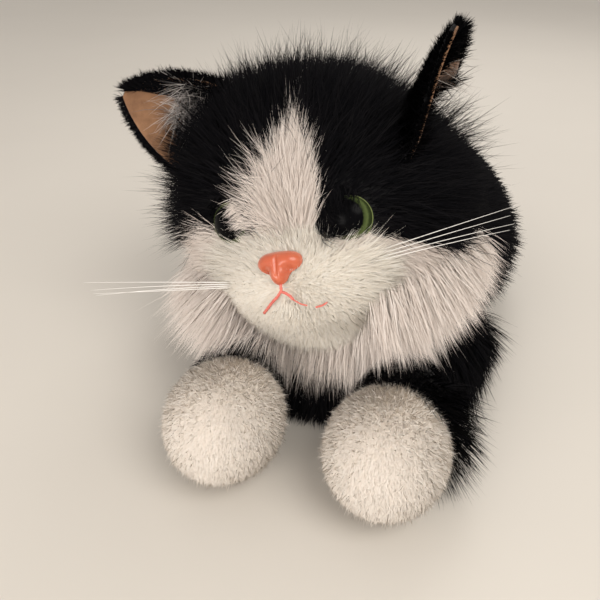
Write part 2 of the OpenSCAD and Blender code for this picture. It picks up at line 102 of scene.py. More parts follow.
class Nodes:
    """Builds a node material around one Principled shader."""

    def __init__(self, name, **values):
        self.material = bpy.data.materials.new(name)
        self.material.use_nodes = True
        self.tree = self.material.node_tree
        self.shader = self.tree.nodes["Principled BSDF"]
        for socket, value in values.items():
            self.shader.inputs[socket.replace("_", " ")].default_value = value

    def add(self, kind, **values):
        node = self.tree.nodes.new("ShaderNode" + kind)
        for socket, value in values.items():
            if hasattr(node, socket):
                setattr(node, socket, value)
            else:
                node.inputs[socket.replace("_", " ")].default_value = value
        return node

    def link(self, source, target):
        self.tree.links.new(source, target)

    def place(self):
        return self.add("TexCoord").outputs["Object"]

    def noise(self, scale, detail=4.0, roughness=0.55):
        node = self.add("TexNoise", Scale=scale, Detail=detail, Roughness=roughness)
        self.link(self.place(), node.inputs["Vector"])
        return node.outputs["Fac"]

    def ramp(self, source, *stops):
        """A colour ramp of (place, colour) stops."""
        node = self.add("ValToRGB")
        points = node.color_ramp.elements
        while len(points) < len(stops):
            points.new(0.5)
        for point, (place, colour) in zip(points, stops):
            point.position = place
            point.color = (*colour, 1)
        self.link(source, node.inputs["Fac"])
        return node.outputs["Color"]

    def colour(self, source):
        self.link(source, self.shader.inputs["Base Color"])

    def mottle(self, scale, dark, light, low=0.3, high=0.7, **grain):
        """Colour that runs from dark to light over noise."""
        self.colour(self.ramp(self.noise(scale, **grain), (low, dark), (high, light)))
        return self

    def bump(self, source, strength, distance):
        node = self.add("Bump", Strength=strength, Distance=distance)
        self.link(source, node.inputs["Height"])
        self.link(node.outputs["Normal"], self.shader.inputs["Normal"])


def cloth_material(name, dark, light, weave=900):
    """Knitted backing cloth with short stubble of pile."""
    m = Nodes(name, Roughness=0.9).mottle(220, dark, light, low=0.35)
    m.bump(m.noise(weave, 2.0), 0.5, 0.0006)
    return m.material


def shades_of(name, colours, roughness, specular):
    """A plain material for each shade of a pile's strands."""
    look = {"Roughness": roughness, "Specular_IOR_Level": specular}
    return [Nodes(f"{name}_{i}", Base_Color=(*c, 1), **look).material for i, c in enumerate(colours)]


# --- meshes ---


def unit(v):
    return v / np.maximum(np.linalg.norm(v, axis=-1, keepdims=True), 1e-9)


def add_object(name, mesh, body, stands_for=()):
    piece = bpy.data.objects.new(name, mesh)
    bpy.context.scene.collection.objects.link(piece)
    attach(piece, body)
    if stands_for:
        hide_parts(*stands_for)


def add_smooth(name, shell, material, body, stands_for):
    """A smooth piece from a shell: its points in millimetres and its faces."""
    points, faces = shell
    mesh = bpy.data.meshes.new(name)
    mesh.from_pydata((np.asarray(points) * MM).tolist(), [], [list(map(int, f)) for f in faces])
    mesh.materials.append(material)
    mesh.polygons.foreach_set("use_smooth", [True] * len(mesh.polygons))
    mesh.update()
    add_object(name, mesh, body, stands_for)


def above_floor(points):
    """Raises the points that lie under the floor onto it."""
    points[..., 2] = np.maximum(points[..., 2], FLOOR_GAP)
    return points


def spokes(angle, across, over):
    """Directions at angles from across towards over."""
    return np.cos(angle)[:, None] * across + np.sin(angle)[:, None] * over


def full_turn(count):
    """Evenly spaced angles round a circle."""
    return np.linspace(0, 2 * math.pi, count, endpoint=False)


def ring_quads(rings, around, first=0, inward=False):
    """Quads between each ring of points and the next, from the index of the first point."""
    quads = []
    for i in range(rings - 1):
        for j in range(around):
            a, b = first + i * around + j, first + i * around + (j + 1) % around
            quads.append((a, b, b + around, a + around) if inward else (a, a + around, b + around, b))
    return quads


def strand_mesh(name, path, side, outward, width, materials, shade, share):
    """Flat tapering strands along their paths, shaded partly by their surface's outward direction."""
    count, last = len(path), path.shape[1] - 1
    taper = np.linspace(1.0, 0.55, last)[None, :, None] * (width / 2)[:, None, None]
    left = path[:, :last] - side[:, None] * taper
    right = path[:, :last] + side[:, None] * taper
    points = np.concatenate([left, right, path[:, last:]], axis=1)
    corners = [c for i in range(last - 1) for c in (i, last + i, last + i + 1, i + 1)]
    corners += [last - 1, 2 * last - 1, 2 * last]
    each = 2 * last + 1
    strand = np.arange(count)[:, None]
    mesh = bpy.data.meshes.new(name)
    mesh.vertices.add(count * each)
    mesh.vertices.foreach_set("co", (points * MM).astype(np.float32).ravel())
    mesh.loops.add(count * len(corners))
    corner_points = strand * each + np.array(corners)
    mesh.loops.foreach_set("vertex_index", corner_points.astype(np.int32).ravel())
    mesh.polygons.add(count * last)
    face_starts = strand * len(corners) + np.arange(0, 4 * last, 4)
    mesh.polygons.foreach_set("loop_start", face_starts.astype(np.int32).ravel())
    for material in materials:
        mesh.materials.append(material)
    mesh.polygons.foreach_set("material_index", np.repeat(shade, last).astype(np.int32))
    mesh.polygons.foreach_set("use_smooth", np.ones(count * last, bool))
    mesh.update(calc_edges=True)
    along = unit(path[:, last] - path[:, 0])
    facing = unit(np.cross(side, along))
    shading = unit(outward * share + facing * (1 - share))
    mesh.normals_split_custom_set_from_vertices(np.repeat(shading, each, axis=0))
    return mesh


# --- ovals that the pile grows on ---


class Oval:
    """An oval with its middle and radii in millimetres, turned by the columns of turn."""

    def __init__(self, middle, radii, turn=None):
        self.middle = np.array(middle, float)
        self.radii = np.array(radii, float)
        self.turn = np.eye(3) if turn is None else turn

    def inset(self, depth):
        return type(self)(self.middle, self.radii - depth, self.turn)

    def area(self):
        """The surface area, by a power mean of the products of the radii."""
        a, b, c = self.radii
        p = 1.6075
        return 4 * math.pi * (((a * b) ** p + (a * c) ** p + (b * c) ** p) / 3) ** (1 / p)

    def scatter(self, per_mm2, rng):
        """Points of the surface and their outward directions, both in the oval's own axes."""
        count = int(self.area() * per_mm2)
        ball = unit(rng.normal(size=(count * 3, 3)))
        stretch = np.linalg.norm(ball / self.radii, axis=1)
        ball = ball[stretch > rng.random(len(ball)) * stretch.max()][:count]
        return ball * self.radii, unit(ball / self.radii)

    def out(self, points):
        """Points from the oval's own axes to the model's frame."""
        return points @ self.turn.T + self.middle

    def turned(self, directions):
        return directions @ self.turn.T

    def local(self, points):
        return (points - self.middle) @ self.turn

    def outside(self, points):
        """About how far points of the model's frame lie outside the oval."""
        p = self.local(points)
        k = np.linalg.norm(p / self.radii, axis=1)
        return (k - 1) * np.linalg.norm(p, axis=1) / np.maximum(k, 1e-6)


class HeadOval(Oval):
    """The head's oval, with its crown pushed to the cat's right and drawn in on its left."""

    def out(self, points):
        push = CROWN_PUSH * smooth(points[:, 2], 12, 50)
        push = push + CROWN_NARROW * np.maximum(points[:, 0], 0) * smooth(points[:, 2], 5, 40)
        return super().out(points - push[:, None] * (1.0, 0, 0))


def smooth(x, low, high):
    t = np.clip((x - low) / (high - low), 0, 1)
    return t * t * (3 - 2 * t)


def joint_of(name):
    return next(j for j in frame["joints"] if j["name"] == name)


def pivot_of(name):
    return np.array(joint_of(name)["pos_m"], float) / MM


def axis_of(name):
    return unit(np.array(joint_of(name)["axis"], float))


def head_axes():
    """The head's turn and middle: the neck joints lie on the head's own axes."""
    up, right = axis_of("neck_turn"), axis_of("head_nod")
    turn = np.stack([right, np.cross(up, right), up], axis=1)
    return turn, pivot_of("neck_turn") - turn @ np.array(NECK_IN_HEAD)


def node_oval(node, turn=None):
    """The oval that a whole oval node fills."""
    low, high = (np.array(c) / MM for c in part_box(node))
    return Oval((low + high) / 2, (high - low) / 2, turn)


NECK_IN_HEAD = (0, 30, -8)
HEAD_TURN, HEAD_MIDDLE = head_axes()
CROWN_PUSH, CROWN_NARROW = 9, 0.04
HEAD = HeadOval(HEAD_MIDDLE, (65, 56, 54), HEAD_TURN)
MUZZLE_IN_HEAD = np.array([0, -46, -16.0])
MUZZLE = Oval(HEAD_MIDDLE + HEAD_TURN @ MUZZLE_IN_HEAD, (34, 26, 24), HEAD_TURN)
TORSO = Oval((4, 40, 38), (80, 92, 52))
CHEST = Oval((5, -46, 12), (72, 54, 30))
EYE_X, EYE_Z = 26.0, 13.0
EYES = [np.array([sign * EYE_X, -48.5, EYE_Z]) for sign in (1, -1)]
EYE_CLEAR = 9.2
SLEEVES = [
    Oval(pivot_of(f"{side}_foreleg_swing") + (0, -8, 0), (19.5, 28, 19.5))
    for side in ("left", "right")
]
FLOOR_GAP = 0.5

# --- pile ---


def nearest_tuft(root, tufts, rng):
    """For each root, the index of the nearest of some tuft centres picked from the roots."""
    centres = rng.choice(len(root), max(2, len(root) // tufts), replace=False)
    tree = kdtree.KDTree(len(centres))
    for i, c in enumerate(centres):
        tree.insert(root[c], i)
    tree.balance()
    return centres[np.array([tree.find(p)[1] for p in root])]


def comb_pile(
    name, body, pile, root, normal, comb, length, rng, width=0.45, lift=0.5, bend=0.3, sag=0.15,
    loose=0.18, clump=0.35, tuft=14, keep_out=(), shading=0.7, knots=3,
):
    """Grows a strand of a pile from each root.

    A strand leans from the outward direction to the combed one and droops to its tip. Loose spreads
    the strands, clump draws them together in tufts, and keep_out holds ovals that they stay a gap off.
    """
    slot, materials = pile
    count = len(root)
    lift = np.broadcast_to(lift, (count,))[:, None]
    start = unit(normal * lift + comb * (1 - lift) + rng.normal(size=(count, 3)) * loose)
    end = start + comb * bend - np.array([0, 0, sag]) + rng.normal(size=(count, 3)) * loose * 0.6
    steps = np.linspace(0, 1, knots + 1)[None, :, None]
    curve = start[:, None] * steps + (end - start)[:, None] * steps**2 / 2
    path = root[:, None] + length[:, None, None] * curve
    guide = nearest_tuft(root, tuft, rng)
    pull = clump * rng.random((count, 1, 1)) * steps**1.5
    path = path + (path[guide] - path) * pull
    for oval, gap in keep_out:
        for k in range(1, knots + 1):
            near = gap - oval.outside(path[:, k])
            push = unit(oval.turned(oval.local(path[:, k]) / oval.radii**2))
            path[:, k] += push * np.maximum(near, 0)[:, None]
    path = above_floor(path)
    along = unit(path[:, knots] - path[:, 0])
    side = unit(np.cross(along, normal) + 1e-4)
    roll = rng.normal(size=(count, 1)) * 0.6
    side = side * np.cos(roll) + np.cross(along, side) * np.sin(roll)
    shade = rng.integers(0, len(materials), count)
    widths = width * rng.uniform(0.7, 1.2, count)
    mesh = strand_mesh(name, path, side, normal, widths, materials, shade, shading)
    add_object(name, mesh, body)


def comb_head(name, pile, p, n, comb, length, rng, **style):
    """Pile of the head, from roots and directions in the head's own axes."""
    comb_pile(name, "head", pile, HEAD.out(p), HEAD.turned(n), HEAD.turned(comb), length, rng, **style)


def tangent(direction, normal):
    return unit(direction - normal * (direction * normal).sum(1, keepdims=True))


def seed(name):
    return np.random.default_rng(sum(ord(c) * (i + 1) for i, c in enumerate(name)))


# --- regions of the head, in its own axes ---

SEAM_SLOPE = math.radians(38)
SEAM_FRONT = np.array([0, -42.0, 1.0])
SEAM_RISE = 9
FACE_BACK = 14
BLAZE_HALF, BLAZE_TIP, BLAZE_TOP, BLAZE_BACK = 12.5, 1, 51, -8
BLAZE_LEAN = 8


def above_seam(p):
    level = SEAM_FRONT[2] + SEAM_RISE * smooth(-p[:, 0], 22, 50)
    return (p[:, 1] - SEAM_FRONT[1]) * math.sin(SEAM_SLOPE) + (p[:, 2] - level) * math.cos(SEAM_SLOPE)


def blaze_side(p):
    """How far inside the blaze's edge a point is, sideways."""
    t = np.clip((p[:, 2] - SEAM_FRONT[2]) / (BLAZE_TOP - SEAM_FRONT[2]), 0, 1)
    half = BLAZE_TIP + (BLAZE_HALF - BLAZE_TIP) * (1 - smooth(t, 0.4, 1.0)) - 3 * (1 - smooth(t, 0, 0.3))
    middle = BLAZE_LEAN * smooth(t, 0.3, 0.8)
    return np.where(p[:, 1] < BLAZE_BACK, half - np.abs(p[:, 0] - middle) - 3 * (p[:, 0] < middle), -99)


def in_blaze(p):
    return (above_seam(p) > 0) & (blaze_side(p) > 0)


def in_cheek(p):
    return (above_seam(p) <= 0) & (p[:, 1] < FACE_BACK)


def in_crown(p):
    return ~in_blaze(p) & ~in_cheek(p)


def in_crown_front(p):
    return in_crown(p) & (p[:, 1] < FACE_BACK)


def eye_distance(p):
    return np.minimum(*(np.linalg.norm(p - e, axis=1) for e in EYES))


# --- piles and their backing ---

# A pile is a name with the shades of its strands, and a backing is a name with its cloth.
BLACK_SHADES = shades_of(
    "black_pile", [(0.0012, 0.0012, 0.0020), (0.0024, 0.0023, 0.0034), (0.0065, 0.0060, 0.0070)], 0.75, 0.06
)
BLACK_LONG, BLACK_SHORT = ("black_long_pile", BLACK_SHADES), ("black_short_pile", BLACK_SHADES)
WHITE_LONG = "white_long_pile", shades_of(
    "white_pile", [(0.75, 0.67, 0.615), (0.70, 0.62, 0.565), (0.81, 0.74, 0.69)], 0.8, 0.15
)
CREAM_MUZZLE = "cream_muzzle_pile", shades_of(
    "cream_pile", [(0.91, 0.85, 0.755), (0.87, 0.80, 0.70), (0.94, 0.90, 0.83)], 0.85, 0.15
)
GREY_TUFT = "black_short_pile", shades_of(
    "tuft_pile", [(0.42, 0.39, 0.37), (0.16, 0.15, 0.15), (0.66, 0.61, 0.58)], 0.8, 0.1
)
WHITE_SHORT = "white_short_pile", shades_of(
    "paw_pile", [(0.92, 0.845, 0.765), (0.89, 0.81, 0.73), (0.94, 0.88, 0.81)], 0.85, 0.15
)
BLACK_CLOTH = cloth_material("black_cloth", (0.002, 0.002, 0.003), (0.006, 0.006, 0.007))
BLACK_BACKING = "black_long_pile", BLACK_CLOTH
WHITE_BACKING = "white_long_pile", cloth_material("white_cloth", (0.66, 0.59, 0.54), (0.76, 0.69, 0.63))
PAW_BACKING = "white_short_pile", cloth_material("paw_cloth", (0.86, 0.79, 0.71), (0.92, 0.86, 0.78))
CREAM_BACKING = "cream_muzzle_pile", cloth_material("cream_cloth", (0.78, 0.72, 0.62), (0.87, 0.81, 0.72))
FACE_PARTING = np.array([2, -58, -2.0])


def head_pile():
    rng = seed("head")
    p, n = HEAD.inset(1.0).scatter(1.8, rng)
    free = (MUZZLE.outside(HEAD.out(p)) > 0.5) & (eye_distance(p) > EYE_CLEAR)
    p, n = p[free], n[free]
    x = p[:, 0]
    start = np.stack([0 * x, 0 * x - 58, 4 + 14 * smooth(np.abs(x), 15, 45)], axis=1)
    comb = tangent(p - start, n)
    near_eye = smooth(eye_distance(p), 8, 26)
    black = in_crown(p)
    ahead = in_crown_front(p)
    fluff = 1 + 0.5 * smooth(-x, 0, 45) + 0.25 * smooth(p[:, 2], 25, 50) - 0.1 * smooth(x, 25, 55)
    lift = 0.42 + 0.16 * smooth(p[:, 2], 20, 50) + 0.08 * smooth(-x, 20, 50)
    for name, pick in (("head_pile_front", ahead), ("head_pile_back", black & ~ahead)):
        q, m, c = p[pick], n[pick], comb[pick]
        long = 15 * (0.4 + 0.6 * near_eye[pick]) * fluff[pick] * rng.uniform(0.6, 1.15, len(q))
        comb_head(
            name, BLACK_LONG, q, m, c, long, rng, width=0.48, lift=lift[pick], bend=0.25, sag=0.12, clump=0.45
        )
    guard = black & (rng.random(len(p)) < 0.15) & (eye_distance(p) > 22) & (x < 58)
    long = rng.uniform(20, 33, guard.sum())
    comb_head(
        "head_guard_hairs", BLACK_LONG, p[guard], n[guard], comb[guard], long, rng,
        width=0.26, lift=0.7, bend=0.2, sag=0.12, loose=0.25, clump=0.7, tuft=5,
    )


def cheek_pile():
    rng = seed("cheek")
    p, n = HEAD.inset(1.0).scatter(4.6, rng)
    from_muzzle = MUZZLE.outside(HEAD.out(p))
    free = (from_muzzle > -0.5) & (eye_distance(p) > EYE_CLEAR) & in_cheek(p)
    p, n, from_muzzle = p[free], n[free], from_muzzle[free]
    low = smooth(-p[:, 2], 0, 32)[:, None]
    middle = np.stack([0 * p[:, 0], 0 * p[:, 0] - 52, 3 + 15 * np.sign(p[:, 0])], axis=1)
    away = unit(p - middle)
    comb = tangent(away * (1 - low) + unit(np.array([0, -0.4, -1.0]) + away * 0.8) * low, n)
    beard = smooth(-p[:, 2], 22, 46)
    long = (15 + 6 * low[:, 0] + 8 * beard) * (0.5 + 0.5 * smooth(from_muzzle, 0, 12))
    long *= rng.uniform(0.55, 1.1, len(p)) * (1 + 0.2 * smooth(-p[:, 0], 20, 50))
    long *= np.where(p[:, 0] > 0, 0.55 + 0.45 * smooth(-above_seam(p), 0, 10), 1)
    lift = 0.32 + 0.36 * low[:, 0]
    n = unit(n + (0, -0.35, 0.5) * low)
    for side, pick in (("left", p[:, 0] > 0), ("right", p[:, 0] <= 0)):
        comb_head(
            f"{side}_cheek_pile", WHITE_LONG, p[pick], n[pick], comb[pick], long[pick], rng,
            width=0.36, lift=lift[pick], bend=0.25, sag=0.25, clump=0.55, tuft=20, shading=0.88,
        )


def bib_pile():
    """Long white hairs from under the head and muzzle that lie forward over the chest."""
    rng = seed("bib")
    p, n = HEAD.inset(0.6).scatter(4.4, rng)
    q = HEAD.out(p)
    free = (p[:, 2] < -14) & (p[:, 2] > -48) & (p[:, 1] < 6) & (CHEST.outside(q) > 0.5)
    free &= MUZZLE.outside(q) > -5
    p, n = p[free], n[free]
    ahead = smooth(-p[:, 0], 2, 24)[:, None]
    way = n * (0.8, 0.6, 0.2) + (0, -0.5, -0.5) + (0.1, -0.5, 0.28) * ahead
    long = rng.uniform(18, 38, len(p)) * (0.75 + 0.25 * smooth(-p[:, 1], 5, 35))
    long *= 1 + 0.2 * smooth(-p[:, 0], 5, 30)
    forward = unit(n * 0.35 + (0, -0.6, 0.75))
    comb_head(
        "bib_pile", WHITE_LONG, p, forward, unit(way), long, rng,
        width=0.38, lift=0.0, bend=0.1, sag=0.2, loose=0.15, clump=0.7, tuft=26,
        keep_out=[(CHEST, 4.0), *((sleeve, 3.0) for sleeve in SLEEVES)], shading=0.92,
    )


def blaze_pile():
    rng = seed("blaze")
    p, n = HEAD.inset(0.6).scatter(9.0, rng)
    edge = blaze_side(p)
    free = in_blaze(p) & (MUZZLE.outside(HEAD.out(p)) > 2.5) & (eye_distance(p) > 8.8)
    free &= rng.random(len(p)) < 0.2 + 0.8 * smooth(edge, 0, 5 + 3 * smooth(-p[:, 0], 0, 10))
    p, n = p[free], n[free]
    away = (p - FACE_PARTING) * (0.9, 1, 1)
    comb = tangent(away, n)
    near_eye = smooth(eye_distance(p), 8, 17)
    long = rng.uniform(9, 19, len(p)) * (0.35 + 0.65 * near_eye)
    comb_head(
        "blaze_pile", WHITE_LONG, p, n, comb, long, rng,
        width=0.3, lift=0.46 - 0.18 * near_eye, bend=0.2, sag=0.0, loose=0.17, clump=0.65, tuft=18,
        shading=0.88,
    )


def blaze_wisps():
    """Fine long hairs that stray from the blaze's right edge over the black."""
    rng = seed("wisps")
    p, n = HEAD.inset(0.6).scatter(2.2, rng)
    edge = blaze_side(p)
    free = in_blaze(p) & (edge < 6) & (p[:, 0] < 4) & (eye_distance(p) > 10)
    p, n = p[free], n[free]
    comb = tangent(np.array([-0.8, 0.2, 0.75]) + (p - FACE_PARTING) * 0.01, n)
    comb_head(
        "blaze_wisps", WHITE_LONG, p, n, comb, rng.uniform(13, 23, len(p)), rng,
        width=0.22, lift=0.48, bend=0.25, sag=0.0, loose=0.3, clump=0.6, tuft=5, shading=0.8,
    )


def brow_pile(name, sign, pile, low, high, count, long):
    """Hairs rooted round part of an eye's rim, from one angle to another, that fall over it."""
    rng = seed(name)
    foot, axes = surface_frame(HEAD, sign * EYE_X, EYE_Z)
    angle = np.radians(rng.uniform(low, high, count))
    radius = rng.uniform(9.0, 14.0, count)
    flat = np.stack([np.cos(angle) * radius, np.sin(angle) * radius, 0 * radius], axis=1)
    p = HEAD.local(flat @ axes.T + foot)
    p = p / np.linalg.norm(p / (HEAD.radii - 0.6), axis=1, keepdims=True)
    n = HEAD.turned(unit(p / HEAD.radii**2))
    inward = (-flat / radius[:, None]) @ axes.T
    comb = tangent(inward - (0, 0, 0.3), n)
    comb_pile(
        name, "head", pile, HEAD.out(p), n, comb, rng.uniform(*long, count), rng,
        width=0.36, lift=0.62, bend=0.55, sag=0.1, loose=0.16, clump=0.5, tuft=10, shading=0.8,
    )


def make_brows():
    brow_pile("left_brow_pile", 1, BLACK_LONG, 62, 215, 1100, (6, 12))
    brow_pile("left_lash_pile", 1, WHITE_LONG, 215, 320, 500, (4, 7.5))
    brow_pile("right_brow_pile", -1, WHITE_LONG, 0, 60, 420, (5, 9))
    brow_pile("right_temple_pile", -1, BLACK_LONG, 95, 165, 300, (4, 8))
    brow_pile("right_lash_pile", -1, WHITE_LONG, 235, 340, 260, (3, 5.5))


def mouth_crease(x, z):
    """Depth that the stitched mouth pulls the muzzle in."""
    line = np.interp(np.abs(x), [0, 4, 9, 16], [-8, -10.5, -15, -17.5])
    across = np.exp(-(((z - line) / 3.0) ** 2)) * smooth(18 - np.abs(x), 0, 8)
    lip = np.exp(-((x / 2.5) ** 2)) * smooth(-z, 2, 6) * smooth(z + 14, 0, 5)
    return 1.8 * across + 1.0 * lip


def muzzle_pile():
    rng = seed("muzzle")
    p, n = MUZZLE.inset(2.6).scatter(9.0, rng)
    q = MUZZLE.out(p)
    free = HEAD.outside(q) > -3
    p, n, q = p[free], n[free], q[free]
    local = p + MUZZLE_IN_HEAD
    rim = smooth(p[:, 1], -18, 0)
    top = smooth(p[:, 2], -2, 12) * rim
    spread = unit(p * (1.0, 0.15, 1.2))
    comb = unit(tangent(p - (0, -24, 10.0), n) * (1 - rim)[:, None] + spread * 1.5 * rim[:, None])
    q = q - MUZZLE.turned(n) * (mouth_crease(local[:, 0], local[:, 2]) * (1 - rim))[:, None]
    chin = smooth(-p[:, 2], 8, 20)
    long = rng.uniform(2.8, 4.8, len(q)) + (7.5 + 6.5 * top) * rim * rng.uniform(0.6, 1.25, len(q))
    long = long + 3 * chin
    n = unit(n + (0, -0.25, 0.8) * chin[:, None] + (0, -0.5, 0) * top[:, None])
    comb_pile(
        "muzzle_pile", "head", CREAM_MUZZLE, q, MUZZLE.turned(n), MUZZLE.turned(comb), long, rng,
        width=0.36, lift=0.62 - 0.2 * rim + 0.1 * top, sag=0.05, loose=0.22, clump=0.3, tuft=12,
        shading=0.9, knots=2,
    )


def torso_pile():
    rng = seed("torso")
    p, n = TORSO.inset(2.0).scatter(0.95, rng)
    q = TORSO.out(p)
    clear = (HEAD.outside(q) > 9) & (q[:, 2] > 1.0) & ~((CHEST.outside(q) < -3) & (q[:, 1] < -20))
    p, n, q = p[clear], n[clear], q[clear]
    comb = tangent(np.array([0, 1.0, -0.45]) + p * (0.004, 0, 0), n)
    high_left = smooth(q[:, 0], 20, 50) * smooth(q[:, 2], 35, 60)
    long = rng.uniform(13, 20, len(q)) * smooth(HEAD.outside(q), 4, 26) * (1 - 0.45 * high_left)
    left = q[:, 0] > TORSO.middle[0]
    for name, pick in (("left_flank_pile", left), ("right_flank_pile", ~left)):
        comb_pile(
            name, "torso", BLACK_LONG, q[pick], n[pick], comb[pick], long[pick], rng,
            width=0.65, lift=0.42, sag=0.3, keep_out=[(HEAD, 2.0)],
        )
    p, n = CHEST.inset(1.0).scatter(1.2, rng)
    q = CHEST.out(p)
    clear = (HEAD.outside(q) > 7) & (q[:, 2] > 1.0) & (TORSO.outside(q) > -4)
    q, n = q[clear], n[clear]
    flank = smooth(q[:, 0], 38, 64)[:, None]
    comb = tangent(np.array([0, 0.1, -1.0]) * (1 - flank) + (0.3, -1.0, -0.5) * flank, n)
    long = rng.uniform(8, 14, len(q)) * (0.3 + 0.7 * smooth(HEAD.outside(q), 10, 38))
    long *= 1 + 1.1 * smooth(q[:, 0], 36, 62) - 0.9 * smooth(q[:, 0], 64, 76)
    comb_pile(
        "chest_pile", "torso", BLACK_LONG, q, n, comb, long, rng,
        width=0.6, lift=0.4 - 0.18 * flank[:, 0], sag=0.3, keep_out=[(HEAD, 6.0)],
    )


def paw_pile(body, node, per_mm2, comb_to):
    """Short dense pile whose tips end on the oval of the paw's node."""
    rng = seed(node)
    paw = node_oval(node)
    p, n = paw.inset(2.3).scatter(per_mm2, rng)
    comb = tangent(np.array(comb_to, float) + p * 0.01, n)
    long = rng.uniform(2.0, 3.3, len(p)) * np.where(rng.random(len(p)) < 0.06, 1.6, 1.0)
    comb_pile(
        node.replace("cover", "pile"), body, WHITE_SHORT, paw.out(p), n, comb, long, rng,
        width=0.36, lift=0.6, bend=0.2, sag=0.1, loose=0.3, clump=0.08, tuft=6, shading=0.98, knots=2,
    )


# --- cloth under the pile ---


def oval_grid(around=96, along=48):
    """Points and faces of a unit ball with poles on Y."""
    v = np.linspace(0, math.pi, along + 1)
    u = full_turn(around)
    vv, uu = (g.ravel() for g in np.meshgrid(v[1:-1], u, indexing="ij"))
    rings = np.stack([np.sin(vv) * np.cos(uu), -np.cos(vv), np.sin(vv) * np.sin(uu)], axis=-1)
    points = np.concatenate([[[0, -1, 0]], rings, [[0, 1, 0]]])
    last = len(points) - 1
    end = last - around
    faces = [(0, 1 + j, 1 + (j + 1) % around) for j in range(around)]
    faces += ring_quads(along - 1, around, first=1)
    faces += [(end + j, last, end + (j + 1) % around) for j in range(around)]
    return points, faces


BALL_POINTS, BALL_FACES = oval_grid()


def cloth_panel(name, body, backing, oval, keep, stands_for, depth=1.2):
    """One piece of an oval's faces, which keep() picks by their middles in the oval's own axes."""
    slot, material = backing
    skin = oval.inset(depth)
    local = BALL_POINTS * skin.radii
    middles = np.array([local[list(f)].mean(axis=0) for f in BALL_FACES])
    faces = [BALL_FACES[i] for i in np.flatnonzero(keep(middles))]
    used = sorted({i for f in faces for i in f})
    index = {v: i for i, v in enumerate(used)}
    shell = above_floor(skin.out(local[used])), [[index[i] for i in f] for f in faces]
    add_smooth(name, shell, material, body, stands_for)


def all_faces(p):
    return np.ones(len(p), bool)


def in_left_crown(p):
    return in_crown_front(p) & (p[:, 0] >= 0)


def make_head_cloth():
    for name, backing, keep, stands_for in (
        ("left_crown", BLACK_BACKING, in_left_crown, ["crown_left", "head_stuffing"]),
        ("right_crown", BLACK_BACKING, lambda p: in_crown_front(p) & (p[:, 0] < 0), ["crown_right"]),
        ("head_back", BLACK_BACKING, lambda p: p[:, 1] >= FACE_BACK, ["head_back"]),
        ("blaze", WHITE_BACKING, in_blaze, ["blaze"]),
        ("left_cheek", WHITE_BACKING, lambda p: in_cheek(p) & (p[:, 0] >= 0), ["cheek_left"]),
        ("right_cheek", WHITE_BACKING, lambda p: in_cheek(p) & (p[:, 0] < 0), ["cheek_right"]),
    ):
        cloth_panel(f"{name}_cloth", "head", backing, HEAD, keep, stands_for)
    muzzle_nodes = ["muzzle_cover", "chin_cover", "muzzle_stuffing"]
    cloth_panel("muzzle_cloth", "head", CREAM_BACKING, MUZZLE, all_faces, muzzle_nodes, depth=3.2)


def make_body_cloth():
    cloth_panel(
        "torso_cloth", "torso", BLACK_BACKING, TORSO, lambda p: HEAD.outside(TORSO.out(p)) > 3,
        ["left_side_panel", "right_side_panel", "belly_panel", "torso_stuffing", "neck_facing"],
        depth=2.0,
    )
    cloth_panel(
        "chest_cloth", "torso", BLACK_BACKING, CHEST, lambda p: HEAD.outside(CHEST.out(p)) > 5,
        ["chest_panel", "chest_stuffing"], depth=1.0,
    )
    for side in ("left", "right"):
        for leg, paw in (("foreleg", "forepaw"), ("hind_leg", "hindpaw")):
            name = f"{side}_{paw}"
            cloth_panel(
                f"{name}_cloth", f"{side}_{leg}", PAW_BACKING, node_oval(f"{name}_cover"), all_faces,
                [f"{name}_cover", f"{name}_stuffing"], depth=2.2,
            )


# --- limbs and tail ---


class Limb:
    """A leg's sleeve: a tapered tube from the joint's ball to the paw."""

    def __init__(self, start, end, start_r, end_r):
        self.start, self.end = np.array(start, float), np.array(end, float)
        self.start_r, self.end_r = start_r, end_r
        self.length = np.linalg.norm(self.end - self.start)
        self.along = (self.end - self.start) / self.length
        self.across = unit(np.cross(self.along, [0, 0, 1.0]))
        self.over = np.cross(self.across, self.along)

    def ring(self, t, angle, depth=0.0):
        """Surface points and outward directions at shares t along the limb."""
        out = spokes(angle, self.across, self.over)
        radius = self.start_r + (self.end_r - self.start_r) * t - depth
        return self.start + self.along * (t * self.length)[:, None] + out * radius[:, None], out

    def scatter(self, per_mm2, rng, depth=1.0):
        area = 2 * math.pi * (self.start_r + self.end_r) / 2 * self.length
        count = int(area * per_mm2)
        return self.ring(rng.random(count), rng.random(count) * 2 * math.pi, depth)

    def shell(self, depth, rings=14, around=48, ball_rings=7):
        """Points and faces of a ball end and a sleeve that stops inside the paw."""
        angle = full_turn(around)
        ball = self.start_r - depth
        points = [[self.start - self.along * ball]]
        for k in range(1, ball_rings + 1):
            a = math.pi / 2 * k / (ball_rings + 1)
            out = spokes(angle, self.across, self.over)
            points.append(self.start - self.along * ball * math.cos(a) + out * ball * math.sin(a))
        for t in np.linspace(0, SLEEVE_SHARE, rings):
            points.append(self.ring(np.full(around, t), angle, depth)[0])
        faces = [(0, 1 + (j + 1) % around, 1 + j) for j in range(around)]
        faces += ring_quads(ball_rings + rings, around, first=1, inward=True)
        return above_floor(np.concatenate(points)), faces


SHOULDER_R, FORE_END_R = 18.5, 20.2
HIP_R, HIND_END_R = 21, 16.5
SLEEVE_SHARE = 0.72


